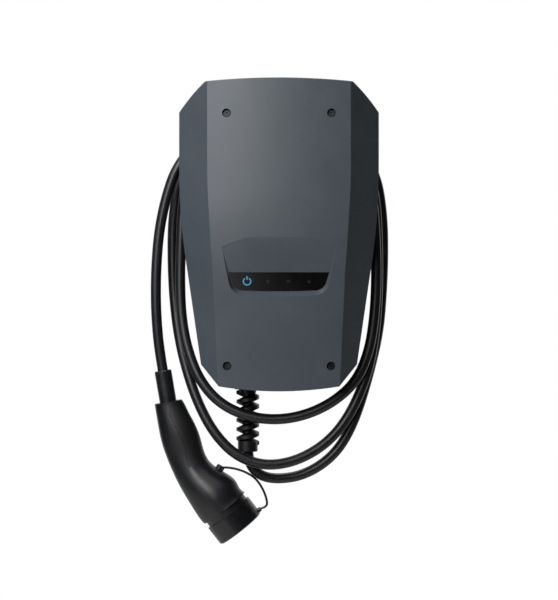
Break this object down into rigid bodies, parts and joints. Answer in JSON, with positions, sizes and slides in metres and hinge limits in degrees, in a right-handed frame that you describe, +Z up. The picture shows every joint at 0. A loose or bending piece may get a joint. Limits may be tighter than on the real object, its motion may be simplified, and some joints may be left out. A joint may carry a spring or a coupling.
{
  "type": "ev wallbox",
  "caption": "Wall charging station with a faceted, crowned cover, a housing neck that carries its wound cable, a helical bend protector and a capped connector.",
  "frame": {"origin": "middle of the wall fixing pattern, on the wall plane", "axes": "+X to the right seen from the front, +Y into the wall, +Z up"},
  "size_m": [0.3095, 0.13, 0.5918],
  "materials": {
    "cover": "moulded plastic, fine even grain, dark blue grey",
    "window": "smoked clear plastic, polished",
    "power_light": "printed blue mark, clear lacquer",
    "status_lights": "clear light pipes, unlit",
    "circuit_board": "glass fibre laminate with green solder mask",
    "screws": "zinc plated steel",
    "cover_screws": "black oxide steel",
    "gasket": "foamed rubber",
    "housing": "moulded black plastic",
    "relays": "moulded black plastic",
    "terminals": "moulded grey plastic",
    "cable": "extruded black polyurethane, satin",
    "conductors": "plastic insulated strands",
    "grommet": "moulded rubber",
    "gland": "moulded black nylon",
    "protector": "moulded flexible plastic",
    "sleeve": "moulded soft plastic",
    "grip": "moulded soft black plastic",
    "connector": "moulded black plastic, fine grain",
    "nose": "moulded black plastic",
    "carrier": "moulded black plastic",
    "contacts": "silver plated copper",
    "cap": "moulded soft black plastic, satin",
    "tether": "moulded black rubber"
  },
  "bodies": {
    "station": {"bend_protector": "protector", "board_screws": "screws", "cable_clamp": "housing", "cable_sleeve": "sleeve", "cable_tail": "cable", "cap_tether": "tether", "charge_cable": "cable", "clamp_screws": "screws", "connector_housing": "connector", "connector_nose": "nose", "contact_sockets": "contacts", "cover_flange": "housing", "cover_gasket": "gasket", "cover_screws": "cover_screws", "display_board": "circuit_board", "display_screws": "screws", "display_window": "window", "fault_current_sensor": "relays", "front_cover": "cover", "gland_body": "gland", "gland_locknut": "gland", "gland_seal": "gasket", "grip_cover": "grip", "main_board": "circuit_board", "output_conductors": "conductors", "output_terminals": "terminals", "pin_carrier": "carrier", "power_light": "power_light", "power_relays": "relays", "rear_housing": "housing", "status_lights": "status_lights", "supply_grommet": "grommet", "supply_terminals": "terminals", "tether_clip": "tether"},
    "cap": {"protective_cap": "cap"}
  },
  "joints": [
    {"name": "cap_pull", "type": "slide", "parent": "station", "child": "cap", "axis": [0.6157, 0, -0.788], "range_m": [0, 0.022], "deforming": ["cap_tether"]}
  ]
}
